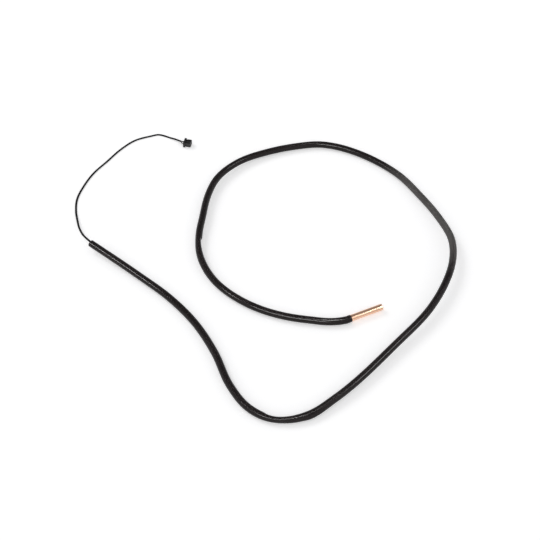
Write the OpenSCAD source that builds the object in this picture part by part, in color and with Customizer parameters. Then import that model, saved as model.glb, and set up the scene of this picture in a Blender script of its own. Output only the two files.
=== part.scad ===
/* [Probe] */
// Outside diameter of the copper sheath
sheath_d = 6; // [5.8:0.1:6.4]
// Length of bare copper past the sleeve's mouth
sheath_bare = 31; // [28:1:36]
// Length of the necked tail that the sleeve grips
neck_length = 5; // [4:0.5:6]
// How far the necked tail is drawn in, on the radius
neck_draw = 0.2; // [0.18:0.01:0.22]
// Wall thickness of the copper sheath
sheath_wall = 0.5; // [0.4:0.05:0.6]
// Edge radius round the closed flat end
tip_radius = 0.5; // [0.3:0.1:0.7]

/* [Sleeve] */
// Outside diameter of the long black sleeve
sleeve_d = 6.7; // [6.6:0.1:7.2]
// Wall thickness of the sleeve
sleeve_wall = 0.45; // [0.35:0.05:0.45]
// Flat sides around the sleeve
sleeve_sides = 12; // [10, 12]
// Usual distance between two rings of the sleeve
sleeve_step = 22; // [18:1:30]

/* [Lead] */
// Diameter of one insulated core; the flat lead is two cores wide
core_d = 1; // [0.8:0.05:1]
// Diameter of the stranded conductor in a core
strand_d = 0.5; // [0.4:0.05:0.5]
// Flat sides around the lead
lead_sides = 8; // [6, 8]
// Usual distance between two rings of the bare stretch of lead
lead_step = 12; // [8:1:16]

/* [Thermistor] */
// Largest diameter of the dipped bead
bead_d = 2; // [1.6:0.1:2.4]
// Diameter of the bead's bare wire legs
leg_d = 0.25; // [0.2:0.05:0.3]
// Half the distance between the two spliced circuits
circuit_half = 0.9; // [0.85:0.05:1.1]

/* [Plug] */
// Length of the plug's housing
plug_length = 7.4; // [6.8:0.1:7.6]
// Width of the housing at its wire end
plug_width = 8; // [7.4:0.1:8]
// Height of the housing at its wire end
plug_height = 5.8; // [5.6:0.1:6.2]
// Distance between the two contacts
plug_pitch = 2.5; // [2.5, 2.54]

/* [Hidden] */

// Clearance between pieces that touch inside the potting and the plug
gap = 0.01;
smooth = 48;

// The probe lies along X with its middle over the origin, its axis a sleeve's radius up
axis_z = sleeve_d / 2;
sheath_half = (sheath_bare + neck_length) / 2;
mouth_x = sheath_half - sheath_bare;
sheath_bore = sheath_d / 2 - sheath_wall;
neck_r = sheath_d / 2 - neck_draw;
sleeve_bore = sleeve_d / 2 - sleeve_wall;
potting_back = 3 - sheath_half;
potting_front = sheath_half - sheath_wall - 0.1;

// Stations along the probe, from the sensing end back to the lead
chip_size = [0.8, 0.3, 0.8];
chip_x = sheath_half - 3.6;
bead_length = 3.2;
leg_half = chip_size.y / 2 + leg_d / 2 + gap;
leg_bend_x = chip_x - 2;
leg_bend_run = 2;
leg_sides = 8;
leg_end_x = chip_x - 11.4;
leg_sleeve_d = 0.8;
leg_sleeve_from = chip_x - 9.8;
leg_sleeve_to = chip_x - 4.8;
ferrule_d = 1;
ferrule_from = chip_x - 13.4;
ferrule_to = chip_x - 10;
strand_from = chip_x - 15;
strand_to = chip_x - 12;
splice_sleeve_d = 1.5;
splice_sleeve_from = chip_x - 16;
splice_sleeve_to = chip_x - 9.4;
core_half = core_d / 2 + gap;
core_bend_x = chip_x - 22.4;
core_bend_run = 3;
core_sides = 12;

// The sleeve's route from its mouth on the copper: x, y and how far it lifts off the surface
sleeve_route = [
    [mouth_x, 0, 0], [mouth_x - 6, 0, 0], [-26, 2, 0], [-34, 5.5, 0], [-44, 12, 0],
    [-60, 23, 0], [-78, 40, 0], [-92, 60, 0], [-104, 93, 0], [-104, 122, 1],
    [-95, 147, 2], [-83, 167, 2.5], [-67, 192, 2.5], [-50, 210, 2.5], [-22, 223, 2],
    [12, 226, 0.5], [42, 222, 0], [66, 214, 0], [81, 202, 0], [94, 186, 0],
    [106, 165, 0], [115, 139, 0.5], [118, 108, 1.5], [118, 72, 3.5], [113, 40, 5],
    [99, 16, 6], [78, -5, 5.5], [54, -22, 4.5], [8, -43, 3], [-67, -71, 1],
    [-87, -75, 0], [-106, -73, 0], [-122, -64, 0], [-132, -49, 0], [-137, -22, 0],
    [-135, 14, 0], [-138, 53, 0], [-147, 87, 0], [-163, 124, 0.5], [-190, 177, 4]
];
// The plug: the middle of its wire end, and the way it points
plug_at = [-58.5, 275.5];
plug_turn = -38;
// Where the lead splits, from the plug and turned with it, and the lead's slant there
split_from = [-3.9, 1.2, 0];
split_turn = -22;
// The bare lead's route after the sleeve: x, y and the height of its underside
lead_route = [
    [-193, 190, 6.5], [-193, 203, 3.8], [-191, 216, 1.2], [-188, 230, 0], [-182, 245, 0],
    [-171, 259, 0], [-156, 273, 0], [-138, 284, 0], [-118, 296, 0], [-102, 302, 0],
    [-84, 301.5, 0], [-77, 300.5, 0], [-71.5, 295.5, 0], [-67.5, 290.5, 0], [-64.5, 286, 1]
];
// Where the lead rides in the sleeve's bore: distance from the start, height over the axis
lead_bed = 2.1;
lead_bed_from = 45;
lead_rise_from = 990;
lead_mouth_rise = 1.7;

// ---- Smooth routes: a cubic curve through the points, with rings at even steps ----

function unit(v) = v / norm(v);
function slope(p, i) =
    i == 0 ? unit(p[1] - p[0]) :
    i == len(p) - 1 ? unit(p[i] - p[i - 1]) :
    let (a = p[i] - p[i - 1], b = p[i + 1] - p[i], da = norm(a), db = norm(b))
        (a / da * db + b / db * da) / (da + db);
function between(p, i, t) =
    let (d = norm(p[i + 1] - p[i]), s = t * t, c = s * t)
        (2 * c - 3 * s + 1) * p[i] + (c - 2 * s + t) * d * slope(p, i)
        + (3 * s - 2 * c) * p[i + 1] + (c - s) * d * slope(p, i + 1);
function steps(p, i, step) = max(1, round(norm(p[i + 1] - p[i]) / step));
function stations(p, step) = [
    for (i = [0 : len(p) - 2], n = steps(p, i, step), k = [0 : n - 1]) between(p, i, k / n),
    p[len(p) - 1]
];
function heading(s, i) =
    unit(s[min(i + 1, len(s) - 1)] - s[max(i - 1, 0)]);
function turned(v, a) = [v.x * cos(a) - v.y * sin(a), v.x * sin(a) + v.y * cos(a), v.z];
function sideways(t) = unit(cross([0, 0, 1], t));
function upward(t) = cross(t, sideways(t));
function reach(s, i) = i == 0 ? 0 : norm(s[i] - s[i - 1]) + reach(s, i - 1);

// A ring of flat sides whose flats, not its corners, lie at the half-width and half-height
function ring(at, t, sides, half_w, half_h) = [
    for (k = [0 : sides - 1])
        let (a = (k + 0.5) * 360 / sides, f = 1 / cos(180 / sides))
            at + sideways(t) * cos(a) * f * half_w + upward(t) * sin(a) * f * half_h
];
function skin_faces(rings, sides, base, flip) = [
    for (i = [0 : rings - 2], k = [0 : sides - 1])
        let (
            a = base + i * sides + k,
            b = base + i * sides + (k + 1) % sides,
            quad = [a, b, b + sides, a + sides]
        )
        flip ? [quad[3], quad[2], quad[1], quad[0]] : quad
];

module solid_tube(s, headings, sides, half_w, half_h) {
    n = len(s);
    points = [for (i = [0 : n - 1]) each ring(s[i], headings[i], sides, half_w, half_h)];
    near_cap = [for (k = [0 : sides - 1]) k];
    far_cap = [for (k = [0 : sides - 1]) n * sides - 1 - k];
    polyhedron(points, concat(skin_faces(n, sides, 0, true), [near_cap, far_cap]), convexity = 10);
}

module hollow_tube(s, headings, sides, outer, inner) {
    n = len(s);
    count = n * sides;
    points = concat(
        [for (i = [0 : n - 1]) each ring(s[i], headings[i], sides, outer, outer)],
        [for (i = [0 : n - 1]) each ring(s[i], headings[i], sides, inner, inner)]
    );
    near_end = [
        for (k = [0 : sides - 1])
            let (m = (k + 1) % sides) [k, m, count + m, count + k]
    ];
    far_end = [
        for (k = [0 : sides - 1])
            let (m = (k + 1) % sides, e = count - sides)
                [e + m, e + k, count + e + k, count + e + m]
    ];
    faces = concat(
        skin_faces(n, sides, 0, true), skin_faces(n, sides, count, false), near_end, far_end
    );
    polyhedron(points, faces, convexity = 10);
}

// ---- Rods along X, for the fine pieces in the probe and the plug ----

module rod(d, from, to) {
    translate([from, 0, 0]) rotate([0, 90, 0]) cylinder(d = d, h = to - from, $fn = smooth);
}
module pipe(d, bore, from, to) {
    difference() {
        rod(d, from, to);
        rod(bore, from - 1, to + 1);
    }
}
// A wire in the XY plane through the points [x, y], along +X at its end and start_turn from it
// at its start
module bent_wire(d, bends, sides, start_turn = 0) {
    n = len(bends);
    line = [for (p = bends) [p.x, p.y, 0]];
    ways = [
        for (i = [0 : n - 1])
            i == 0 ? [cos(start_turn), sin(start_turn), 0] : i == n - 1 ? [1, 0, 0] : heading(line, i)
    ];
    solid_tube(line, ways, sides, d / 2, d / 2);
}
module at_axis() {
    translate([0, 0, axis_z]) children();
}
module side_a() {
    at_axis() children();
}
module side_b() {
    at_axis() mirror([0, 1, 0]) children();
}

// ---- Probe ----

module copper_sheath() {
    color([0.86, 0.6, 0.47]) at_axis() rotate([0, 90, 0]) rotate_extrude($fn = 96) difference() {
        union() {
            translate([0, -sheath_half]) square([neck_r, neck_length + 1]);
            translate([0, mouth_x]) square([sheath_d / 2, sheath_bare - tip_radius]);
            translate([0, mouth_x]) square([sheath_d / 2 - tip_radius, sheath_bare]);
            translate([sheath_d / 2 - tip_radius, sheath_half - tip_radius])
                circle(r = tip_radius, $fn = smooth);
        }
        translate([-1, -sheath_half - 1])
            square([sheath_bore + 1, 2 * sheath_half + 1 - sheath_wall - 0.1]);
        translate([-sheath_d, -sheath_half - 1]) square([sheath_d, 2 * sheath_half + 2]);
    }
}

module bead_shape(grow) {
    r = bead_d / 2 + grow;
    half = bead_length / 2 + grow;
    translate([chip_x - 0.2, 0, 0]) rotate([0, 90, 0]) rotate_extrude($fn = smooth) difference() {
        union() {
            translate([0, half - r]) circle(r = r, $fn = smooth);
            translate([0, r * 0.7 - half]) circle(r = r * 0.7, $fn = smooth);
            polygon([[0, r - half], [r * 0.7, r * 0.7 - half], [r, half - r], [0, half - r]]);
        }
        translate([-2 * r, -2 * half]) square([2 * r, 4 * half]);
    }
}
module chip_shape(grow) {
    translate([chip_x, 0, 0]) cube(chip_size + [2, 2, 2] * grow, center = true);
}
module leg_shape(grow) {
    bent_wire(leg_d + 2 * grow, [
        [leg_end_x, circuit_half], [leg_bend_x - leg_bend_run, circuit_half],
        [leg_bend_x, leg_half], [chip_x + chip_size.x / 2 - 0.1, leg_half]
    ], leg_sides);
}
module core_shape(grow) {
    bent_wire(core_d + 2 * grow, [
        [potting_back, core_half], [core_bend_x, core_half],
        [core_bend_x + core_bend_run, circuit_half], [strand_from, circuit_half]
    ], core_sides);
}

module epoxy_potting() {
    color([0.1, 0.1, 0.11]) at_axis() difference() {
        rod(2 * (sheath_bore - gap), potting_back, potting_front - gap);
        bead_shape(gap);
        for (side = [0, 1]) mirror([0, side, 0]) {
            leg_shape(gap);
            core_shape(gap);
            translate([0, circuit_half, 0]) {
                rod(leg_sleeve_d + 2 * gap, leg_sleeve_from - gap, leg_sleeve_to + gap);
                rod(splice_sleeve_d + 2 * gap, splice_sleeve_from - gap, splice_sleeve_to + gap);
            }
        }
    }
}
module thermistor_chip() {
    color([0.35, 0.34, 0.33]) at_axis() chip_shape(0);
}
module bead_coating() {
    color([0.08, 0.08, 0.08]) at_axis() difference() {
        bead_shape(0);
        chip_shape(gap);
        leg_shape(gap);
        mirror([0, 1, 0]) leg_shape(gap);
    }
}
module bead_leg() {
    color([0.8, 0.8, 0.8]) leg_shape(0);
}
module leg_sleeve() {
    color([0.9, 0.88, 0.8]) translate([0, circuit_half, 0])
        pipe(leg_sleeve_d, leg_d + 2 * gap, leg_sleeve_from, leg_sleeve_to);
}
module splice_ferrule() {
    color([0.78, 0.78, 0.76]) translate([0, circuit_half, 0]) difference() {
        rod(ferrule_d, ferrule_from, ferrule_to);
        rod(leg_d + 2 * gap, leg_end_x - gap, ferrule_to + 1);
        rod(strand_d + 2 * gap, ferrule_from - 1, strand_to + gap);
    }
}
module splice_sleeve() {
    color([0.12, 0.12, 0.12]) translate([0, circuit_half, 0])
        pipe(splice_sleeve_d, ferrule_d + 2 * gap, splice_sleeve_from, splice_sleeve_to);
}
module probe_strand() {
    color([0.82, 0.55, 0.38]) translate([0, circuit_half, 0])
        rod(strand_d, strand_from, strand_to);
}
module probe_core() {
    color([0.09, 0.09, 0.1]) core_shape(0);
}

// ---- Sleeve and lead ----

sleeve_line = stations([for (p = sleeve_route) [p.x, p.y, p.z + axis_z]], sleeve_step);
sleeve_headings = [for (i = [0 : len(sleeve_line) - 1]) heading(sleeve_line, i)];

plug_centre = [plug_at.x, plug_at.y, plug_height / 2];
split_at = plug_centre + turned(split_from, plug_turn);
split_way = turned([1, 0, 0], plug_turn + split_turn);

// Inside the sleeve the lead keeps the sleeve's own stations
inner_line = [
    for (i = [1 : len(sleeve_line) - 1])
        let (
            run = reach(sleeve_line, i),
            end = reach(sleeve_line, len(sleeve_line) - 1),
            lift = lookup(run, [
                [0, 0], [10, 0], [lead_bed_from, -lead_bed], [lead_rise_from, -lead_bed],
                [end, lead_mouth_rise]
            ])
        )
        sleeve_line[i] + upward(sleeve_headings[i]) * lift
];
bare_line = stations(concat(
    [inner_line[len(inner_line) - 1]],
    [for (p = lead_route) [p.x, p.y, p.z + core_d / 2]],
    [split_at - split_way * 3 - [0, 0, 0.4], split_at]
), lead_step);
lead_line = concat(
    [[potting_back, 0, axis_z], [-sheath_half, 0, axis_z]],
    inner_line,
    [for (i = [1 : len(bare_line) - 1]) bare_line[i]]
);
lead_headings = [
    for (i = [0 : len(lead_line) - 1])
        i == 0 ? [-1, 0, 0] : i == len(lead_line) - 1 ? split_way : heading(lead_line, i)
];

module outer_sleeve() {
    color([0.1, 0.1, 0.11])
        hollow_tube(sleeve_line, sleeve_headings, sleeve_sides, sleeve_d / 2, sleeve_bore);
}
module twin_lead() {
    color([0.07, 0.07, 0.08])
        solid_tube(lead_line, lead_headings, lead_sides, core_d, core_d / 2);
}

// ---- Plug, drawn along +X from the middle of its wire end ----

cavity = 1.9;
cavity_end = plug_length - 0.9;
pin_hole = 1.2;
rear_length = 2;
waist_length = 1.3;
waist_width = plug_width - 2.2;
waist_height = plug_height - 1.2;
nose_width = plug_width - 1.8;
nose_height = plug_height - 0.8;
rib_width = 0.7;
window = [1, 1.3];
plug_edge = 0.25;
contact_box = 1.7;
contact_bore = 1.1;
contact_from = 3;
contact_to = cavity_end - 0.1;
wire_crimp = [1.55, 2.5];
core_crimp = [0.4, 1.3];
wire_crimp_d = 1.1;
core_crimp_d = 1.5;
strip_at = 1.42;
plug_strand_to = 2.7;
core_straight = 0.4;
core_entry = -1.2;

module at_plug() {
    translate(plug_centre) rotate([0, 0, plug_turn]) children();
}
// A block on the axis with its four long edges bevelled
module bevelled(from, length, w, h, edge) {
    translate([from, 0, 0]) rotate([90, 0, 90]) linear_extrude(length) polygon([
        [edge - w / 2, -h / 2], [w / 2 - edge, -h / 2], [w / 2, edge - h / 2], [w / 2, h / 2 - edge],
        [w / 2 - edge, h / 2], [edge - w / 2, h / 2], [-w / 2, h / 2 - edge], [-w / 2, edge - h / 2]
    ]);
}
module beam(from, to, w, h) {
    translate([from, -w / 2, -h / 2]) cube([to - from, w, h]);
}
module plug_housing() {
    front = rear_length + waist_length;
    color([0.08, 0.08, 0.09]) at_plug() difference() {
        union() {
            bevelled(0, rear_length, plug_width, plug_height, plug_edge);
            bevelled(rear_length - 0.1, waist_length + 0.2, waist_width, waist_height, plug_edge);
            bevelled(front, plug_length - front, nose_width, nose_height, plug_edge);
            for (side = [-1, 1]) translate([0, side * (nose_width / 2 - 1.1), nose_height / 2 - 0.1])
                beam(front, plug_length - 0.6, rib_width, plug_height - nose_height + 0.2);
        }
        for (side = [-1, 1]) translate([0, side * plug_pitch / 2, 0]) {
            beam(-1, cavity_end, cavity, cavity);
            beam(cavity_end - 1, plug_length + 1, pin_hole, pin_hole);
            translate([rear_length + 0.15, -window.y / 2, 0]) cube([window.x, window.y, plug_height]);
        }
    }
}
module plug_contact() {
    color([0.82, 0.8, 0.74]) translate([0, plug_pitch / 2, 0]) {
        difference() {
            beam(contact_from, contact_to, contact_box, contact_box);
            beam(contact_from - 1, contact_to + 1, contact_bore, contact_bore);
        }
        pipe(wire_crimp_d, strand_d + 2 * gap, wire_crimp.x, wire_crimp.y);
        pipe(core_crimp_d, core_d + 2 * gap, core_crimp.x, core_crimp.y);
        translate([core_crimp.x, -0.4, -contact_box / 2])
            cube([contact_from - core_crimp.x + 0.2, 0.8, 0.35]);
    }
}
// side is 1 for circuit a and -1 for circuit b
module plug_core(side) {
    start = split_from + turned([0, side * core_half, 0], split_turn);
    bend = start + turned([core_straight, 0, 0], split_turn);
    cavity_y = side * plug_pitch / 2;
    color([0.07, 0.07, 0.08]) bent_wire(
        core_d, [start, bend, [core_entry, cavity_y], [strip_at, cavity_y]], core_sides, split_turn
    );
}
module plug_strand() {
    color([0.82, 0.55, 0.38]) translate([0, plug_pitch / 2, 0])
        rod(strand_d, strip_at, plug_strand_to);
}

copper_sheath();
epoxy_potting();
thermistor_chip();
bead_coating();
side_a() bead_leg();  // bead_leg_a
side_b() bead_leg();  // bead_leg_b
side_a() leg_sleeve();  // leg_sleeve_a
side_b() leg_sleeve();  // leg_sleeve_b
side_a() splice_ferrule();  // splice_ferrule_a
side_b() splice_ferrule();  // splice_ferrule_b
side_a() splice_sleeve();  // splice_sleeve_a
side_b() splice_sleeve();  // splice_sleeve_b
side_a() probe_strand();  // probe_strand_a
side_b() probe_strand();  // probe_strand_b
side_a() probe_core();  // probe_core_a
side_b() probe_core();  // probe_core_b
outer_sleeve();
twin_lead();
at_plug() plug_core(1);  // plug_core_a
at_plug() plug_core(-1);  // plug_core_b
at_plug() plug_strand();  // plug_strand_a
at_plug() mirror([0, 1, 0]) plug_strand();  // plug_strand_b
at_plug() plug_contact();  // plug_contact_a
at_plug() mirror([0, 1, 0]) plug_contact();  // plug_contact_b
plug_housing();
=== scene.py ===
import math

import bmesh
import bpy
import numpy as np
from mathutils import Matrix, Vector


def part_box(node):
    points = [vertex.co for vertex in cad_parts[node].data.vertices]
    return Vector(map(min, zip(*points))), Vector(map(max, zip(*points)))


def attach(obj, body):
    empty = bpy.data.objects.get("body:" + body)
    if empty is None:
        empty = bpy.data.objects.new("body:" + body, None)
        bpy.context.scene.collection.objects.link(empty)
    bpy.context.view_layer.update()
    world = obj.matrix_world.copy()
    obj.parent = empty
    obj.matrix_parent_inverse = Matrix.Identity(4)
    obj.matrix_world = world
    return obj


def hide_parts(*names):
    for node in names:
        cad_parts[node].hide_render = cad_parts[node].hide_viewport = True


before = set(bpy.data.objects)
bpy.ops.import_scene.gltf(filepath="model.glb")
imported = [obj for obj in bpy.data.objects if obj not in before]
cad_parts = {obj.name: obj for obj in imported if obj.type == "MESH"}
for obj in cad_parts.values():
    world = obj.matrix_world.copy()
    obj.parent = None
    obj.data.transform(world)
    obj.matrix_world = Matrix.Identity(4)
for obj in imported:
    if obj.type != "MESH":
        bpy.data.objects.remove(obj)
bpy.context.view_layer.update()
mm = 0.001
print("frame loaded with", len(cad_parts), "nodes")


# node trees written as expressions

class Wire:
    # one output of a node tree: sums on it add Math nodes, and node() adds any other kind

    def __init__(self, tree, socket=None):
        self.tree = tree
        self.socket = socket

    def node(self, kind, settings=None, values=None):
        made = self.tree.nodes.new(kind)
        for name, setting in (settings or {}).items():
            if name == "stops":
                setStops(made.color_ramp, setting)
            else:
                setattr(made, name, setting)
        for key, value in (values or {}).items():
            target = made.inputs[key] if isinstance(key, int) else firstOpen(made.inputs, key)
            for one in value if isinstance(value, list) else [value]:
                if isinstance(one, Wire):
                    self.tree.links.new(one.socket, target)
                else:
                    target.default_value = one
        return Wire(self.tree, next((s for s in made.outputs if s.enabled), None))

    def out(self, name):
        return Wire(self.tree, firstOpen(self.socket.node.outputs, name))

    def math(self, operation, *others):
        return self.node("ShaderNodeMath", {"operation": operation}, dict(enumerate((self, *others))))

    def __add__(self, other):
        return self.math("ADD", other)

    def __sub__(self, other):
        return self.math("SUBTRACT", other)

    def __rsub__(self, other):
        return self.node("ShaderNodeMath", {"operation": "SUBTRACT"}, {0: other, 1: self})

    def __mul__(self, other):
        return self.math("MULTIPLY", other)

    def __truediv__(self, other):
        return self.math("DIVIDE", other)

    def __pow__(self, other):
        return self.math("POWER", other)

    __radd__ = __add__
    __rmul__ = __mul__


def firstOpen(sockets, name):
    return next(s for s in sockets if s.enabled and s.name == name)


def setStops(ramp, stops):
    while len(ramp.elements) < len(stops):
        ramp.elements.new(0.5)
    for element, (place, colour) in zip(ramp.elements, stops):
        element.position = place
        element.color = (*colour, 1.0)


def parts(board, vector):
    split = board.node("ShaderNodeSeparateXYZ", None, {"Vector": vector})
    return split, split.out("Y"), split.out("Z")


# camera, floor and light

camera = {"target": (-0.0516, 0.0836, 0.0), "azimuth": -24.9, "elevation": 48.0,
          "distance": 0.982, "lens": 72.0}
studio = {
    "floorSize": 6.0,
    "floorDrop": 0.1 * mm,
    "floorColour": (0.93, 0.93, 0.935),
    "floorGlow": 0.38,
    # bright low down and in front, darker overhead and behind
    "sky": [(0.0, (0.95, 0.95, 0.95)), (0.68, (0.95, 0.95, 0.95)), (0.86, (0.55, 0.55, 0.555)),
            (1.0, (0.28, 0.28, 0.285))],
    "skyLean": 0.22,
    # bearing is from the camera's side, positive to the right, and a narrow spread is a gridded box
    "lamps": [
        {"name": "keySoftbox", "aim": (-0.05, 0.1), "bearing": -128.0, "height": 42.0, "away": 5.0,
         "size": (1.8, 1.8), "spread": 180.0, "power": 52.0, "lights": "floor"},
        {"name": "frontSoftbox", "aim": (-0.05, 0.08), "bearing": -27.0, "height": 50.0, "away": 3.2,
         "size": (2.2, 0.34), "spread": 180.0, "power": 96.0, "lights": "sleeve_vinyl"},
        {"name": "leftSoftbox", "aim": (-0.19, 0.185), "bearing": -79.0, "height": 45.0, "away": 1.6,
         "size": (0.34, 0.34), "spread": 11.0, "power": 0.11, "lights": "sleeve_vinyl"},
        {"name": "rightSoftbox", "aim": (0.015, -0.03), "bearing": 92.0, "height": 50.0, "away": 1.6,
         "size": (0.9, 0.3), "spread": 18.0, "power": 0.24, "lights": "sleeve_vinyl"},
        {"name": "caseStrip", "aim": (0.002, 0), "bearing": 88.0, "height": 52.0, "away": 1.6,
         "size": (0.9, 0.14), "spread": 60.0, "power": 2.2, "lights": "copper_case"},
        {"name": "topSoftbox", "aim": (-0.01, -0.05), "bearing": 150.0, "height": 84.0, "away": 1.6,
         "size": (0.3, 0.3), "spread": 18.0, "power": 0.2, "lights": "sleeve_vinyl"},
    ],
}


def outward(bearing, height):
    # the way to a place at that bearing, 0 in front and 90 on the right, and that height in degrees
    turn, rise = math.radians(bearing), math.radians(height)
    return Vector((math.sin(turn) * math.cos(rise), -math.cos(turn) * math.cos(rise), math.sin(rise)))


def makeCamera():
    back = outward(camera["azimuth"], camera["elevation"])
    made = bpy.data.objects.new("studioCamera", bpy.data.cameras.new("studioCamera"))
    made.data.lens = camera["lens"]
    made.location = Vector(camera["target"]) + back * camera["distance"]
    made.rotation_euler = back.to_track_quat("Z", "Y").to_euler()
    bpy.context.collection.objects.link(made)
    bpy.context.scene.camera = made


# each lamp falls on the floor alone, or on the piece with that slot
lit = {name: bpy.data.collections.new(name + "Lit") for name in ("floor", "sleeve_vinyl", "copper_case")}


def makeStudio():
    half = studio["floorSize"] / 2
    corners = [(x * half, y * half, -studio["floorDrop"]) for x, y in ((-1, -1), (1, -1), (1, 1), (-1, 1))]
    mesh = bpy.data.meshes.new("paleFloor")
    mesh.from_pydata(corners, [], [(0, 1, 2, 3)])
    mesh.materials.append(finish("paleFloor", lambda board: {
        "Base Color": (*studio["floorColour"], 1.0), "Roughness": 0.9, "Specular IOR Level": 0.1,
        "Emission Color": (1.0, 1.0, 1.0, 1.0), "Emission Strength": studio["floorGlow"]}))
    floor = bpy.data.objects.new("paleFloor", mesh)
    bpy.context.collection.objects.link(floor)
    lit["floor"].objects.link(floor)

    world = bpy.data.worlds.new("softSky")
    bpy.context.scene.world = world
    world.use_nodes = True
    world.node_tree.nodes.clear()
    board = Wire(world.node_tree)
    x, y, z = parts(board, board.node("ShaderNodeTexCoord").out("Generated"))
    front = outward(camera["azimuth"], 0)
    lean = (x * front.x + y * front.y) * studio["skyLean"]
    sky = board.node("ShaderNodeValToRGB", {"stops": studio["sky"]}, {"Fac": z * 0.5 + 0.5 - lean})
    glow = board.node("ShaderNodeBackground", None, {"Color": sky})
    board.node("ShaderNodeOutputWorld", None, {"Surface": glow})

    for lamp in studio["lamps"]:
        light = bpy.data.lights.new(lamp["name"], "AREA")
        light.shape = "RECTANGLE"
        light.size, light.size_y = lamp["size"]
        light.spread = math.radians(lamp["spread"])
        light.energy = lamp["power"]
        holder = bpy.data.objects.new(lamp["name"], light)
        away = outward(camera["azimuth"] + lamp["bearing"], lamp["height"])
        holder.location = Vector((*lamp["aim"], 0)) + away * lamp["away"]
        holder.rotation_euler = away.to_track_quat("Z", "Y").to_euler()
        bpy.context.collection.objects.link(holder)
        holder.light_linking.receiver_collection = lit[lamp["lights"]]
    bpy.context.scene.view_settings.view_transform = "Standard"


# finishes

def finish(name, build):
    material = bpy.data.materials.new(name)
    material.use_nodes = True
    material.node_tree.nodes.clear()
    board = Wire(material.node_tree)
    surface = board.node("ShaderNodeBsdfPrincipled", None, build(board))
    board.node("ShaderNodeOutputMaterial", None, {"Surface": surface})
    return material


def onObject(board, scale=(1.0, 1.0, 1.0)):
    # the piece's own coordinates in metres, stretched by scale
    return board.node("ShaderNodeMapping", None, {
        "Vector": board.node("ShaderNodeTexCoord").out("Object"), "Scale": scale})


def alongTube(board, scale=(1.0, 1.0, 1.0)):
    # across, down and along a swept tube, in metres, stretched by scale
    return board.node("ShaderNodeMapping", None, {
        "Vector": board.node("ShaderNodeAttribute", {"attribute_name": "alongTube"}).out("Vector"),
        "Scale": scale})


def grain(board, place, size, low=0.0, high=1.0, detail=3.0):
    # cloudy variation with features of about that size, from low to high
    noise = board.node("ShaderNodeTexNoise", None, {"Vector": place, "Scale": 1 / size, "Detail": detail})
    return board.node("ShaderNodeMapRange", None, {
        "Value": noise, "From Min": 0.3, "From Max": 0.7, "To Min": low, "To Max": high})


def specks(board, place, spacing, share):
    # small soft dots, about one in each cell of that spacing, that fill a share of it
    cell = board.node("ShaderNodeTexVoronoi", None, {"Vector": place, "Scale": 1 / spacing})
    return board.node("ShaderNodeMapRange", None, {
        "Value": cell, "From Min": share, "From Max": share * 0.4, "To Min": 0.0, "To Max": 1.0})


def blend(board, factor, first, second):
    return board.node("ShaderNodeMix", {"data_type": "RGBA"}, {
        "Factor": factor, "A": colour(first), "B": colour(second)})


def colour(value):
    return value if isinstance(value, Wire) else (*value, 1.0)


def relief(board, height, depth, normal=None):
    values = {"Strength": 1.0, "Distance": depth, "Height": height}
    if normal:
        values["Normal"] = normal
    return board.node("ShaderNodeBump", None, values)


# where the sleeve is painted greyer, a painted reflection of a broad dim light, and made rougher: metres
# along it
paintedReflection = {"middle": 0.545, "reach": 0.085, "colour": (0.046, 0.043, 0.042)}


def sleeveVinyl(board):
    streak = grain(board, alongTube(board, (1.0, 1.0, 0.02)), 0.5 * mm)
    peel = grain(board, alongTube(board, (1.0, 1.0, 0.35)), 1.6 * mm)
    worn = grain(board, alongTube(board, (1.0, 1.0, 0.3)), 9 * mm, detail=4.0)
    dust = specks(board, alongTube(board), 2.4 * mm, 0.055)
    _, _, run = parts(board, alongTube(board))
    paintedReflectionMask = 1.0 - ((run - paintedReflection["middle"]) / paintedReflection["reach"]).math("ABSOLUTE")
    paintedReflectionMask = (paintedReflectionMask * 2.0).math("MINIMUM", 1.0).math("MAXIMUM", 0.0) * (0.75 + worn * 0.25)
    base = blend(board, worn, (0.005, 0.0036, 0.0037), (0.008, 0.0062, 0.0063))
    # painted reflection: the base colour turns greyer over that stretch
    base = blend(board, paintedReflectionMask, base, paintedReflection["colour"])
    return {
        "Base Color": blend(board, dust * 0.35, base, (0.16, 0.155, 0.15)),
        "Roughness": 0.13 + worn * 0.07 + streak * 0.04 + dust * 0.3 + paintedReflectionMask * 0.34,
        "Specular IOR Level": 0.17,
        "Normal": relief(board, streak, 0.002 * mm, relief(board, peel, 0.008 * mm)),
    }


def leadVinyl(board):
    streak = grain(board, alongTube(board, (1.0, 1.0, 0.03)), 0.15 * mm)
    worn = grain(board, alongTube(board, (1.0, 1.0, 0.3)), 3 * mm)
    return {
        "Base Color": blend(board, worn, (0.0042, 0.004, 0.0041), (0.008, 0.0075, 0.0076)),
        "Roughness": 0.34 + worn * 0.12 + streak * 0.05,
        "Specular IOR Level": 0.14,
        "Normal": relief(board, streak, 0.003 * mm, relief(board, worn, 0.01 * mm)),
    }


def coreVinyl(board):
    worn = grain(board, onObject(board), 0.6 * mm)
    return {
        "Base Color": blend(board, worn, (0.0042, 0.004, 0.0041), (0.008, 0.0075, 0.0076)),
        "Roughness": 0.34 + worn * 0.12,
        "Specular IOR Level": 0.14,
        "Normal": relief(board, worn, 0.006 * mm),
    }


def caseCopper(board):
    drawn = grain(board, onObject(board, (0.012, 1.0, 1.0)), 0.09 * mm)
    smudge = grain(board, onObject(board, (0.5, 1.0, 1.0)), 5 * mm, detail=4.0)
    scratch = grain(board, onObject(board, (0.05, 1.0, 1.0)), 0.35 * mm, -0.6, 1.0)
    warm = blend(board, smudge, (0.88, 0.58, 0.42), (0.83, 0.52, 0.36))
    return {
        "Base Color": blend(board, drawn * 0.12, warm, (0.68, 0.34, 0.22)),
        "Metallic": 1.0,
        "Roughness": 0.15 + smudge * 0.05 + scratch.math("MAXIMUM", 0.0) * 0.05,
        "Normal": relief(board, drawn, 0.0001 * mm, relief(board, scratch, 0.0001 * mm)),
    }


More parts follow.
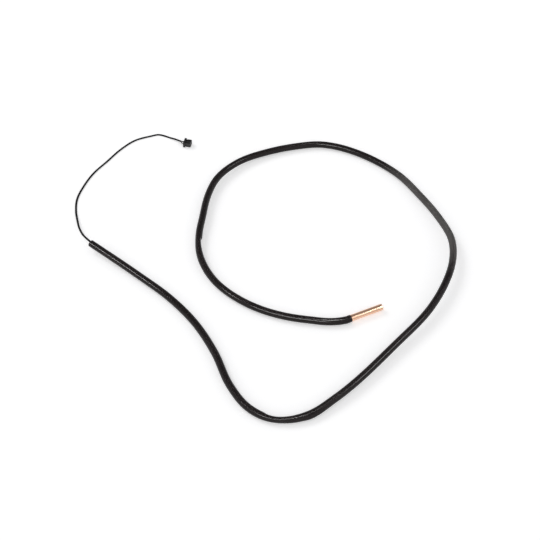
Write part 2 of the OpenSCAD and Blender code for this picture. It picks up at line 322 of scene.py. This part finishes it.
def metal(low, high, roughness, size, depth):
    # plated or drawn metal, from colour low to colour high over patches of that size
    def build(board):
        patch = grain(board, onObject(board), size)
        fine = grain(board, onObject(board), size / 8)
        return {
            "Base Color": blend(board, patch, low, high),
            "Metallic": 1.0,
            "Roughness": roughness + patch * 0.08 + fine * 0.05,
            "Normal": relief(board, fine, depth),
        }
    return build


def plastic(low, high, roughness, size, depth, spots=0.0):
    # moulded, dipped or cast plastic, with grain of that size and depth and a share of light spots
    def build(board):
        patch = grain(board, onObject(board), size * 6)
        fine = grain(board, onObject(board), size)
        dots = specks(board, onObject(board), size * 4, 0.12)
        return {
            "Base Color": blend(board, dots * spots, blend(board, patch, low, high), (0.5, 0.48, 0.44)),
            "Roughness": roughness + patch * 0.1 + fine * 0.06,
            "Normal": relief(board, fine, depth),
        }
    return build


makeCamera()
makeStudio()
finishes = {
    "sleeve_vinyl": finish("sleeveVinyl", sleeveVinyl),
    "lead_vinyl": finish("leadVinyl", leadVinyl),
    "core_vinyl": finish("coreVinyl", coreVinyl),
    "copper_case": finish("caseCopper", caseCopper),
    "plug_nylon": finish("plugNylon", plastic(
        (0.0062, 0.0058, 0.0059), (0.0105, 0.0098, 0.0096), 0.4, 0.14 * mm, 0.006 * mm, 0.03)),
    "contact_metal": finish("contactTin", metal(
        (0.79, 0.77, 0.72), (0.66, 0.63, 0.57), 0.2, 0.8 * mm, 0.002 * mm)),
    "bare_strand": finish("strandCopper", metal(
        (0.93, 0.55, 0.37), (0.82, 0.43, 0.27), 0.2, 0.5 * mm, 0.001 * mm)),
    "leg_wire": finish("legTin", metal(
        (0.8, 0.79, 0.77), (0.68, 0.66, 0.62), 0.24, 0.5 * mm, 0.001 * mm)),
    "ferrule_metal": finish("ferruleTin", metal(
        (0.78, 0.76, 0.7), (0.6, 0.57, 0.5), 0.28, 0.6 * mm, 0.003 * mm)),
    "potting": finish("pottingEpoxy", plastic(
        (0.012, 0.012, 0.014), (0.02, 0.02, 0.022), 0.16, 0.3 * mm, 0.004 * mm, 0.12)),
    "chip_ceramic": finish("chipCeramic", plastic(
        (0.13, 0.12, 0.11), (0.2, 0.18, 0.16), 0.55, 0.05 * mm, 0.004 * mm, 0.2)),
    "bead_resin": finish("beadResin", plastic(
        (0.012, 0.011, 0.011), (0.024, 0.02, 0.018), 0.12, 0.35 * mm, 0.01 * mm)),
    "leg_tube": finish("legTube", plastic(
        (0.78, 0.75, 0.66), (0.86, 0.84, 0.77), 0.3, 0.25 * mm, 0.003 * mm)),
    "shrink_tube": finish("shrinkTube", plastic(
        (0.014, 0.014, 0.015), (0.026, 0.025, 0.025), 0.42, 0.2 * mm, 0.008 * mm)),
}
print("camera, studio and", len(finishes), "finishes ready")


# routes: a cubic curve through chosen points

def slopeAt(points, i):
    if i == 0 or i == len(points) - 1:
        run = points[1] - points[0] if i == 0 else points[i] - points[i - 1]
        return run / np.linalg.norm(run)
    before, after = points[i] - points[i - 1], points[i + 1] - points[i]
    near, far = np.linalg.norm(before), np.linalg.norm(after)
    return (before / near * far + after / far * near) / (near + far)


def cubic(start, startWay, end, endWay, chord, t):
    s, c = t * t, t * t * t
    return ((2 * c - 3 * s + 1) * start + (c - 2 * s + t) * chord * startWay
            + (3 * s - 2 * c) * end + (c - s) * chord * endWay)


def curveThrough(points, perSegment=24):
    points = np.array(points, float)
    line = [points[0]]
    for i in range(len(points) - 1):
        chord = np.linalg.norm(points[i + 1] - points[i])
        line += [cubic(points[i], slopeAt(points, i), points[i + 1], slopeAt(points, i + 1), chord, t)
                 for t in np.linspace(0, 1, perSegment + 1)[1:]]
    return np.array(line)


def runs(line):
    return np.concatenate([[0], np.cumsum(np.linalg.norm(np.diff(line, axis=0), axis=1))])


def placed(line, stops):
    # the line's points at the given distances from its start
    along = runs(line)
    return np.stack([np.interp(stops, along, line[:, k]) for k in range(3)], axis=1)


def even(line, step):
    return placed(line, np.linspace(0, runs(line)[-1], round(runs(line)[-1] / step) + 1))


def eased(line, rounds, held):
    # takes the small corners out of an evenly spaced line, all but the first held points and the last
    line = line.copy()
    for _ in range(rounds):
        line[held:-1] += 0.5 * ((line[held - 1:-2] + line[held + 1:]) / 2 - line[held:-1])
    return line


def sideOf(line):
    # unit vectors to the right of the way the line goes, level with the floor
    ahead = np.gradient(line, axis=0)
    side = np.stack([ahead[:, 1], -ahead[:, 0], np.zeros(len(line))], axis=1)
    return side / np.linalg.norm(side, axis=1)[:, None]


def above(line):
    # unit vectors square to the line, on its upper side
    ahead = np.gradient(line, axis=0)
    over = np.cross(sideOf(line), ahead)
    return over / np.linalg.norm(over, axis=1)[:, None]


# Geometry Nodes: shapes that follow a line or a rule

def newShape(name, inputs):
    # an empty tree that takes a line and named sizes; gives its board and its input wires
    tree = bpy.data.node_groups.new(name, "GeometryNodeTree")
    tree.interface.new_socket("Geometry", in_out="OUTPUT", socket_type="NodeSocketGeometry")
    tree.interface.new_socket("Line", in_out="INPUT", socket_type="NodeSocketGeometry")
    for label, value in inputs.items():
        kind = "NodeSocketInt" if isinstance(value, int) else "NodeSocketFloat"
        tree.interface.new_socket(label, in_out="INPUT", socket_type=kind).default_value = value
    board = Wire(tree)
    given = board.node("NodeGroupInput")
    return board, {name: given.out(name) for name in ["Line", *inputs]}


def endShape(board, geometry, material):
    solid = board.node("GeometryNodeRealizeInstances", None, {"Geometry": geometry})
    smooth = board.node("GeometryNodeSetShadeSmooth", None, {"Geometry": solid})
    painted = board.node("GeometryNodeSetMaterial", None, {"Geometry": smooth, "Material": material})
    board.node("NodeGroupOutput", None, {0: painted})
    return board.tree


def keep(board, geometry, name, kind, value):
    return board.node("GeometryNodeStoreNamedAttribute", {"data_type": kind}, {
        "Geometry": geometry, "Name": name, "Value": value})


def kept(board, name, kind):
    return board.node("GeometryNodeInputNamedAttribute", {"data_type": kind}, {"Name": name})


def joined(board, x, y, z):
    return board.node("ShaderNodeCombineXYZ", None, {"X": x, "Y": y, "Z": z})


def vectorSum(board, *terms):
    # the sum of (vector, amount) pairs
    total = None
    for vector, amount in terms:
        scaled = board.node("ShaderNodeVectorMath", {"operation": "SCALE"}, {
            "Vector": vector, "Scale": amount})
        total = scaled if total is None else board.node(
            "ShaderNodeVectorMath", {"operation": "ADD"}, {0: total, 1: scaled})
    return total


def measuredCurve(board, line):
    # the line as a curve that keeps its side, its down and its distance from the start
    curve = board.node("GeometryNodeMeshToCurve", None, {"Mesh": line})
    curve = board.node("GeometryNodeSetCurveNormal", {"mode": "Z_UP"}, {"Curve": curve})
    side = board.node("GeometryNodeInputNormal")
    down = board.node("ShaderNodeVectorMath", {"operation": "CROSS_PRODUCT"}, {
        0: board.node("GeometryNodeInputTangent"), 1: side})
    curve = keep(board, curve, "side", "FLOAT_VECTOR", side)
    curve = keep(board, curve, "down", "FLOAT_VECTOR", down)
    return keep(board, curve, "run", "FLOAT", board.node("GeometryNodeSplineParameter").out("Length"))


def swept(board, curve, profile, caps):
    # carries the profile along the curve, and keeps alongTube: across, down and along in metres
    profile = keep(board, profile, "section", "FLOAT_VECTOR", board.node("GeometryNodeInputPosition"))
    tube = board.node("GeometryNodeCurveToMesh", None, {
        "Curve": curve, "Profile Curve": profile, "Fill Caps": caps})
    across, down, _ = parts(board, kept(board, "section", "FLOAT_VECTOR"))
    tube = keep(board, tube, "alongTube", "FLOAT_VECTOR",
                joined(board, across, down, kept(board, "run", "FLOAT")))
    return tube, across, down


def withoutAids(board, geometry):
    for name in ("side", "down", "run", "section"):
        geometry = board.node("GeometryNodeRemoveAttribute", None, {"Geometry": geometry, "Name": name})
    return geometry


def sleeveShape(material, dents):
    board, given = newShape("softSleeve", {"Radius": 3.35 * mm, "Sides": 40, "Unevenness": 0.08 * mm})
    circle = board.node("GeometryNodeCurvePrimitiveCircle", None, {
        "Resolution": given["Sides"], "Radius": given["Radius"]})
    tube, across, down = swept(board, measuredCurve(board, given["Line"]), circle, False)
    run = kept(board, "run", "FLOAT")
    push, sink = 0.0, 0.0
    for dent in dents:
        past = run - dent["at"]
        along = past.math("MINIMUM", 0.0) / dent["before"] + past.math("MAXIMUM", 0.0) / dent["after"]
        turn = math.radians(dent["clock"])
        toward = (math.sin(turn), -math.cos(turn))  # clock 0 is up, 90 is to the right of the way it goes
        facing = ((across * toward[0] + down * toward[1]) / given["Radius"]).math("MAXIMUM", 0.0)
        amount = (along * along * -1.0).math("EXPONENT") * facing * facing * -dent["depth"]
        push, sink = amount * toward[0] + push, amount * toward[1] + sink
    wave = board.node("ShaderNodeTexNoise", None, {"Scale": 1 / (14 * mm), "Detail": 1.0})
    ease = wave * given["Unevenness"] / given["Radius"] * -1.0
    tube = board.node("GeometryNodeSetPosition", None, {"Geometry": tube, "Offset": vectorSum(
        board, (kept(board, "side", "FLOAT_VECTOR"), push + across * ease),
        (kept(board, "down", "FLOAT_VECTOR"), sink + down * ease))})
    return endShape(board, withoutAids(board, tube), material)


def twinShape(material):
    board, given = newShape("twinLead", {"Core radius": 0.45 * mm, "Groove": 0.08 * mm, "Points": 32})
    circle = board.node("GeometryNodeCurvePrimitiveCircle", None, {
        "Resolution": given["Points"], "Radius": 1.0})
    x, y, _ = parts(board, board.node("GeometryNodeInputPosition"))
    core = given["Core radius"]
    across = x * core * 2.0
    reach = across.math("ABSOLUTE").math("MAXIMUM", given["Groove"]) - core
    height = (core * core - reach * reach).math("MAXIMUM", 0.0).math("SQRT")
    figure = board.node("GeometryNodeSetPosition", None, {
        "Geometry": circle, "Position": joined(board, across, y.math("SIGN") * height, 0.0)})
    tube, _, _ = swept(board, measuredCurve(board, given["Line"]), figure, True)
    return endShape(board, withoutAids(board, tube), material)


def wireShape(material):
    board, given = newShape("roundWire", {"Radius": 0.45 * mm, "Sides": 24})
    circle = board.node("GeometryNodeCurvePrimitiveCircle", None, {
        "Resolution": given["Sides"], "Radius": given["Radius"]})
    tube, _, _ = swept(board, measuredCurve(board, given["Line"]), circle, True)
    return endShape(board, withoutAids(board, tube), material)


def strandShape(material):
    # six wires laid round a seventh, all along the line
    board, given = newShape("twistedStrand", {"Radius": 0.25 * mm, "Pitch": 4.0 * mm, "Sides": 10})
    curve = measuredCurve(board, given["Line"])
    thin = given["Radius"] / 3.0
    six = board.node("GeometryNodeDuplicateElements", {"domain": "SPLINE"}, {"Geometry": curve, "Amount": 6})
    sixth = math.tau / 6
    turn = kept(board, "run", "FLOAT") / given["Pitch"] * math.tau + six.out("Duplicate Index") * sixth
    laid = board.node("GeometryNodeSetPosition", None, {"Geometry": six, "Offset": vectorSum(
        board, (kept(board, "side", "FLOAT_VECTOR"), turn.math("COSINE") * thin * 2.0),
        (kept(board, "down", "FLOAT_VECTOR"), turn.math("SINE") * thin * 2.0))})
    both = board.node("GeometryNodeJoinGeometry", None, {"Geometry": [laid, curve]})
    circle = board.node("GeometryNodeCurvePrimitiveCircle", None, {
        "Resolution": given["Sides"], "Radius": thin})
    tube, _, _ = swept(board, both, circle, True)
    return endShape(board, withoutAids(board, tube), material)


def turnedShape(material):
    # an outline of points (along, radius) turned round X
    board, given = newShape("turnedPiece", {"Sides": 96, "Height": 0.0})
    count = board.node("GeometryNodeAttributeDomainSize", {"component": "MESH"}, {
        "Geometry": given["Line"]}).out("Point Count")
    around = given["Sides"] + 1
    grid = board.node("GeometryNodeMeshGrid", None, {"Vertices X": count, "Vertices Y": around})
    index = board.node("GeometryNodeInputIndex")
    column = ((index + 0.5) / around).math("FLOOR")
    angle = (index - column * around) / given["Sides"] * math.tau
    along, radius, _ = parts(board, board.node("GeometryNodeSampleIndex", {"data_type": "FLOAT_VECTOR"}, {
        "Geometry": given["Line"], "Value": board.node("GeometryNodeInputPosition"), "Index": column}))
    turned = board.node("GeometryNodeSetPosition", None, {"Geometry": grid, "Position": joined(
        board, along, radius * angle.math("COSINE"), radius * angle.math("SINE") + given["Height"])})
    closed = board.node("GeometryNodeMergeByDistance", None, {"Geometry": turned, "Distance": 0.0005 * mm})
    return endShape(board, closed, material)


def grown(name, points, tree, sizes):
    # a piece made by the tree from a line of points, as a plain mesh
    mesh = bpy.data.meshes.new(name)
    mesh.from_pydata([tuple(p) for p in points], [(i, i + 1) for i in range(len(points) - 1)], [])
    piece = bpy.data.objects.new(name, mesh)
    bpy.context.collection.objects.link(piece)
    modifier = piece.modifiers.new("shape", "NODES")
    modifier.node_group = tree
    for item in tree.interface.items_tree:
        if item.in_out == "INPUT" and item.name in sizes:
            modifier[item.identifier] = sizes[item.name]
    return baked(piece)


def baked(piece):
    graph = bpy.context.evaluated_depsgraph_get()
    mesh = bpy.data.meshes.new_from_object(
        piece.evaluated_get(graph), preserve_all_data_layers=True, depsgraph=graph)
    piece.modifiers.clear()
    piece.data = mesh
    mesh.name = piece.name
    return piece


def fitted(piece, slot, *nodes):
    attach(piece, "root")
    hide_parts(*nodes)
    if slot in lit:
        lit[slot].objects.link(piece)
    return piece


# the sleeve

sleeve = {
    "route": [
        (-0.013, 0, 0), (-0.019, 0, 0), (-0.026, 0.002, 0), (-0.034, 0.0055, 0), (-0.044, 0.012, 0),
        (-0.06, 0.023, 0), (-0.078, 0.04, 0), (-0.092, 0.06, 0), (-0.104, 0.093, 0),
        (-0.104, 0.122, 0.001), (-0.095, 0.147, 0.002), (-0.083, 0.167, 0.0025),
        (-0.067, 0.192, 0.0025), (-0.05, 0.21, 0.0025), (-0.022, 0.223, 0.002),
        (0.012, 0.226, 0.0005), (0.042, 0.222, 0), (0.066, 0.214, 0), (0.081, 0.202, 0),
        (0.094, 0.186, 0), (0.106, 0.165, 0), (0.115, 0.139, 0.0005), (0.118, 0.108, 0.0015),
        (0.118, 0.072, 0.0035), (0.113, 0.04, 0.005), (0.099, 0.016, 0.006), (0.078, -0.005, 0.0055),
        (0.054, -0.022, 0.0045), (0.008, -0.043, 0.003), (-0.067, -0.071, 0.001),
        (-0.087, -0.075, 0), (-0.106, -0.073, 0), (-0.122, -0.064, 0), (-0.132, -0.049, 0),
        (-0.137, -0.022, 0), (-0.135, 0.014, 0), (-0.138, 0.053, 0), (-0.147, 0.087, 0),
        (-0.163, 0.124, 0.0005), (-0.19, 0.177, 0.004),
    ],
    "diameter": 6.7 * mm,
    "wall": 0.45 * mm,
    "step": 2.0 * mm,
    "fineStep": 0.6 * mm,
    "fineReach": 16 * mm,
    "closest": 0.3 * mm,
    "easing": 8,  # rounds
    "rimRound": 0.07 * mm,
    "straight": 3,  # points at the mouth that stay straight over the case's tail
    "dents": [
        {"at": 0.1875, "clock": 90, "depth": 1.15 * mm, "before": 15 * mm, "after": 1.6 * mm},
        {"at": 0.826, "clock": -90, "depth": -1.0 * mm, "before": 13 * mm, "after": 5 * mm},
        {"at": 0.849, "clock": -90, "depth": 0.6 * mm, "before": 9 * mm, "after": 16 * mm},
        {"at": 0.852, "clock": 25, "depth": 0.7 * mm, "before": 18 * mm, "after": 8 * mm},
        {"at": 0.86, "clock": 90, "depth": 1.3 * mm, "before": 17 * mm, "after": 3 * mm},
    ],
}


def makeSleeve():
    radius = sleeve["diameter"] / 2
    line = curveThrough([(x, y, lift + radius) for x, y, lift in sleeve["route"]])
    line = eased(even(line, sleeve["step"]), sleeve["easing"], sleeve["straight"])
    length = runs(line)[-1]
    stops = set(np.round(np.arange(0, length, sleeve["step"]), 6)) | {length}
    reach = sleeve["fineReach"]
    for dent in sleeve["dents"]:
        near = np.arange(dent["at"] - reach, dent["at"] + reach, sleeve["fineStep"])
        stops |= set(np.round(near, 6))
    stops = np.array(sorted(stops))
    stops = stops[np.concatenate([[True], np.diff(stops) > sleeve["closest"]])]
    line = placed(line, stops)
    piece = grown("vinylSleeve", line, sleeveShape(finishes["sleeve_vinyl"], sleeve["dents"]), {
        "Radius": radius})
    wall = piece.modifiers.new("wall", "SOLIDIFY")
    wall.thickness = sleeve["wall"]
    wall.offset = -1
    wall.use_even_offset = True
    rim = piece.modifiers.new("rim", "BEVEL")
    rim.width = sleeve["rimRound"]
    rim.segments = 2
    rim.limit_method = "ANGLE"
    rim.angle_limit = math.radians(60)
    baked(piece)
    piece.data.set_sharp_from_angle(angle=math.radians(35))
    fitted(piece, "sleeve_vinyl", "outer_sleeve")
    return line


sleeveLine = makeSleeve()
print("sleeve laid,", round(runs(sleeveLine)[-1], 4), "m")


# the plug's place, which the lead ends at

plug = {"at": (-0.0585, 0.2755), "turn": -38.0, "splitFrom": (-3.9 * mm, 1.2 * mm, 0), "splitTurn": -22.0}
_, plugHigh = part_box("plug_housing")
plugPlace = (Matrix.Translation((*plug["at"], plugHigh.z / 2))
             @ Matrix.Rotation(math.radians(plug["turn"]), 4, "Z"))


def levelWay(degrees):
    return np.array([math.cos(math.radians(degrees)), math.sin(math.radians(degrees)), 0])


splitAt = np.array(plugPlace @ Vector(plug["splitFrom"]))
splitWay = levelWay(plug["turn"] + plug["splitTurn"])


# the twin lead

lead = {
    "coreDiameter": 1.0 * mm,
    "start": -0.015,
    "tail": -0.018,
    "rise": [(0, 0), (0.01, 0), (0.045, -0.0021), (0.99, -0.0021)],  # distance, height over the axis
    "mouthRise": 1.7 * mm,
    "joinsSleeveAt": 6 * mm,
    "behindSplit": (3 * mm, 0.4 * mm),  # how far back and how much lower the last point before the split is
    "route": [
        (-0.193, 0.19, 0.0065), (-0.193, 0.203, 0.0038), (-0.191, 0.216, 0.0012), (-0.188, 0.23, 0),
        (-0.182, 0.245, 0), (-0.171, 0.259, 0), (-0.156, 0.273, 0), (-0.138, 0.284, 0),
        (-0.118, 0.296, 0), (-0.102, 0.302, 0), (-0.084, 0.3015, 0), (-0.077, 0.3005, 0),
        (-0.0715, 0.2955, 0), (-0.0675, 0.2905, 0), (-0.0645, 0.286, 0.001),
    ],
    "step": 1.2 * mm,
    "innerStep": 4.0 * mm,
    "easing": 2,
    "straight": 3,  # points that stay in line with the case
}


def makeLead():
    half = lead["coreDiameter"] / 2
    along = runs(sleeveLine)
    lift = np.interp(along, *zip(*lead["rise"], (along[-1], lead["mouthRise"])))
    inside = (sleeveLine + above(sleeveLine) * lift[:, None])[along > lead["joinsSleeveAt"]]
    height = sleeveLine[0, 2]
    inside = np.concatenate([[(lead["start"], 0, height), (lead["tail"], 0, height)], inside])
    back, lower = lead["behindSplit"]
    outside = curveThrough([
        inside[-1], *[(x, y, under + half) for x, y, under in lead["route"]],
        splitAt - splitWay * back - np.array([0, 0, lower]), splitAt])
    line = np.concatenate([even(inside, lead["innerStep"])[:-1], even(outside, lead["step"])])
    line = eased(line, lead["easing"], lead["straight"])
    piece = grown("twinLead", line, twinShape(finishes["lead_vinyl"]), {"Core radius": half})
    return fitted(piece, "lead_vinyl", "twin_lead"), line


leadPiece, leadLine = makeLead()
print("lead laid,", round(runs(leadLine)[-1], 4), "m")


# the copper case

caseLow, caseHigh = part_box("copper_sheath")
case = {
    "wall": 0.5 * mm,
    "floorExtra": 0.1 * mm,  # the flat end is that much thicker than the wall
    "boreRound": 0.3 * mm,
    "tipRound": 0.5 * mm,
    "neckDraw": 0.2 * mm,
    "neckSlope": 0.3 * mm,
    "neckEnd": -13.0 * mm,
    "lipRound": 0.15 * mm,
    "crown": 0.06 * mm,  # how far the flat end falls off towards its edge
    "ringStep": 2 * mm,
    "arcSteps": 8,
}


def quarter(centre, radius, start, end):
    # points of an arc from angle start to angle end, in degrees
    return [(centre[0] + radius * math.cos(math.radians(a)), centre[1] + radius * math.sin(math.radians(a)))
            for a in np.linspace(start, end, case["arcSteps"] + 1)]


def makeCase():
    radius = (caseHigh.z - caseLow.z) / 2
    bore, neck, inner = radius - case["wall"], radius - case["neckDraw"], case["boreRound"]
    back, tip = caseLow.x, caseHigh.x
    floorOfBore = tip - case["wall"] - case["floorExtra"]
    edge = tip - case["crown"]
    outline = [(floorOfBore, 0), *quarter((floorOfBore - inner, bore - inner), inner, 0, 90)]
    outline += [(back + case["lipRound"], bore)]
    outline += quarter((back + case["lipRound"], neck - case["lipRound"]), case["lipRound"], 180, 90)
    outline += [(case["neckEnd"] - case["neckSlope"], neck), (case["neckEnd"], radius)]
    rings = np.arange(case["neckEnd"] + case["ringStep"] / 2, edge - case["tipRound"], case["ringStep"])
    outline += [(x, radius) for x in rings]
    outline += quarter((edge - case["tipRound"], radius - case["tipRound"]), case["tipRound"], 90, 8)
    outline += [(tip - case["crown"] * s * s, (radius - case["tipRound"]) * s) for s in (0.85, 0.6, 0.3, 0)]
    middle = (caseHigh.z + caseLow.z) / 2
    piece = grown("copperCase", [(x, r, 0) for x, r in outline], turnedShape(finishes["copper_case"]), {
        "Height": middle})
    piece.data.set_sharp_from_angle(angle=math.radians(50))
    return fitted(piece, "copper_case", "copper_sheath")


makeCase()
print("copper case turned")


# the plug

housing = {
    "rear": (2.0 * mm, 8.0 * mm, 5.8 * mm),
    "waist": (1.3 * mm, 5.8 * mm, 4.6 * mm),
    "nose": (6.2 * mm, 5.0 * mm),
    "length": 7.4 * mm,
    "ribs": {"width": 0.7 * mm, "inset": 1.1 * mm, "short": 0.6 * mm},
    "pitch": 2.5 * mm,
    "cavity": 1.9 * mm,
    "cavityEnd": 6.5 * mm,
    "pinHole": 1.2 * mm,
    "window": (1.0 * mm, 1.3 * mm),
    "windowGap": 0.15 * mm,  # between the wire end's step and the window
    "overlap": 0.1 * mm,
    "past": 1.0 * mm,  # how far a cutter runs beyond what it cuts
    "round": 0.16 * mm,
}


def box(name, start, end, middle, size):
    # a block along X from start to end, with its middle (y, z) and its size (y, z)
    mesh = bpy.data.meshes.new(name)
    shape = bmesh.new()
    bmesh.ops.create_cube(shape, size=1.0)
    for v in shape.verts:
        v.co = ((start + end) / 2 + v.co.x * (end - start),
                middle[0] + v.co.y * size[0], middle[1] + v.co.z * size[1])
    shape.to_mesh(mesh)
    shape.free()
    piece = bpy.data.objects.new(name, mesh)
    bpy.context.collection.objects.link(piece)
    return piece


def carved(body, tools):
    # joins or cuts the body with each (operation, tool), then bakes it
    for operation, tool in tools:
        step = body.modifiers.new(operation, "BOOLEAN")
        step.operation = operation
        step.solver = "EXACT"
        step.object = tool
    baked(body)
    for _, tool in tools:
        bpy.data.objects.remove(tool)
    return body


def rounded(piece, width, segments=3):
    edge = piece.modifiers.new("edge", "BEVEL")
    edge.width = width
    edge.segments = segments
    edge.limit_method = "ANGLE"
    edge.angle_limit = math.radians(40)
    edge.use_clamp_overlap = True
    baked(piece)
    piece.data.shade_smooth()
    shine = piece.modifiers.new("shine", "WEIGHTED_NORMAL")
    shine.keep_sharp = True
    return baked(piece)


def makeHousing():
    rear, waist, nose, ribs = housing["rear"], housing["waist"], housing["nose"], housing["ribs"]
    front = rear[0] + waist[0]
    overlap, past = housing["overlap"], housing["past"]
    body = box("plugHousing", 0, rear[0], (0, 0), rear[1:])
    tools = [
        ("UNION", box("waist", rear[0] - overlap, front + overlap, (0, 0), waist[1:])),
        ("UNION", box("nose", front, housing["length"], (0, 0), nose)),
    ]
    ribHeight = (rear[2] - nose[1]) / 2 + overlap
    for side in (-1, 1):
        ribMiddle = (side * (nose[0] / 2 - ribs["inset"]), nose[1] / 2 - overlap + ribHeight / 2)
        tools.append(("UNION", box("rib", front, housing["length"] - ribs["short"],
                                   ribMiddle, (ribs["width"], ribHeight))))
    for side in (-1, 1):
        y = side * housing["pitch"] / 2
        cavity, hole, window = housing["cavity"], housing["pinHole"], housing["window"]
        tools.append(("DIFFERENCE", box("cavity", -past, housing["cavityEnd"], (y, 0), (cavity, cavity))))
        tools.append(("DIFFERENCE", box("pinHole", housing["cavityEnd"] - past, housing["length"] + past,
                                        (y, 0), (hole, hole))))
        start = rear[0] + housing["windowGap"]
        tools.append(("DIFFERENCE", box("window", start, start + window[0], (y, rear[2] / 2),
                                        (window[1], rear[2]))))
    carved(body, tools)
    body.data.materials.clear()
    body.data.materials.append(finishes["plug_nylon"])
    rounded(body, housing["round"])
    body.data.transform(plugPlace)
    return fitted(body, "plug_nylon", "plug_housing")


core = {"diameter": 1.0 * mm, "strand": 0.5 * mm, "strip": 1.42 * mm, "strandEnd": 2.7 * mm,
        "gap": 0.51 * mm, "bendTo": -1.2 * mm, "steps": 24}


def inPlug(points):
    return [plugPlace @ Vector(p) for p in points]


def makeCores():
    made = []
    wire, strand = wireShape(finishes["core_vinyl"]), strandShape(finishes["bare_strand"])
    for letter, side in (("A", 1), ("B", -1)):
        far = side * housing["pitch"] / 2
        near = np.array(plug["splitFrom"]) + levelWay(plug["splitTurn"] + 90) * side * core["gap"]
        bend = np.array([core["bendTo"], far, 0])
        chord = np.linalg.norm(bend - near)
        line = [cubic(near, levelWay(plug["splitTurn"]), bend, levelWay(0), chord, t)
                for t in np.linspace(0, 1, core["steps"] + 1)]
        line.append((core["strip"], far, 0))
        made.append(fitted(grown("plugCore" + letter, inPlug(line), wire, {"Radius": core["diameter"] / 2}),
                           "lead_vinyl", "plug_core_" + letter.lower()))
        run = np.linspace(core["strip"], core["strandEnd"], 12)
        made.append(fitted(grown("plugStrand" + letter, inPlug([(x, far, 0) for x in run]), strand, {
            "Radius": core["strand"] / 2}), "bare_strand", "plug_strand_" + letter.lower()))
    return made


plugPieces = [makeHousing(), *makeCores()]
plugPieces += [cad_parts[name] for name in ("plug_contact_a", "plug_contact_b")]
print("plug and cores made")


# finishes of the pieces that are carried over

carried = {
    "epoxy_potting": "potting", "thermistor_chip": "chip_ceramic", "bead_coating": "bead_resin",
    "bead_leg": "leg_wire", "leg_sleeve": "leg_tube", "splice_ferrule": "ferrule_metal",
    "splice_sleeve": "shrink_tube", "probe_strand": "bare_strand", "probe_core": "core_vinyl",
    "plug_contact": "contact_metal",
}


def paintCarried():
    for name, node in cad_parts.items():
        kind = name[:-2] if name.endswith(("_a", "_b")) else name
        if kind in carried:
            node.data.materials.clear()
            node.data.materials.append(finishes[carried[kind]])


paintCarried()
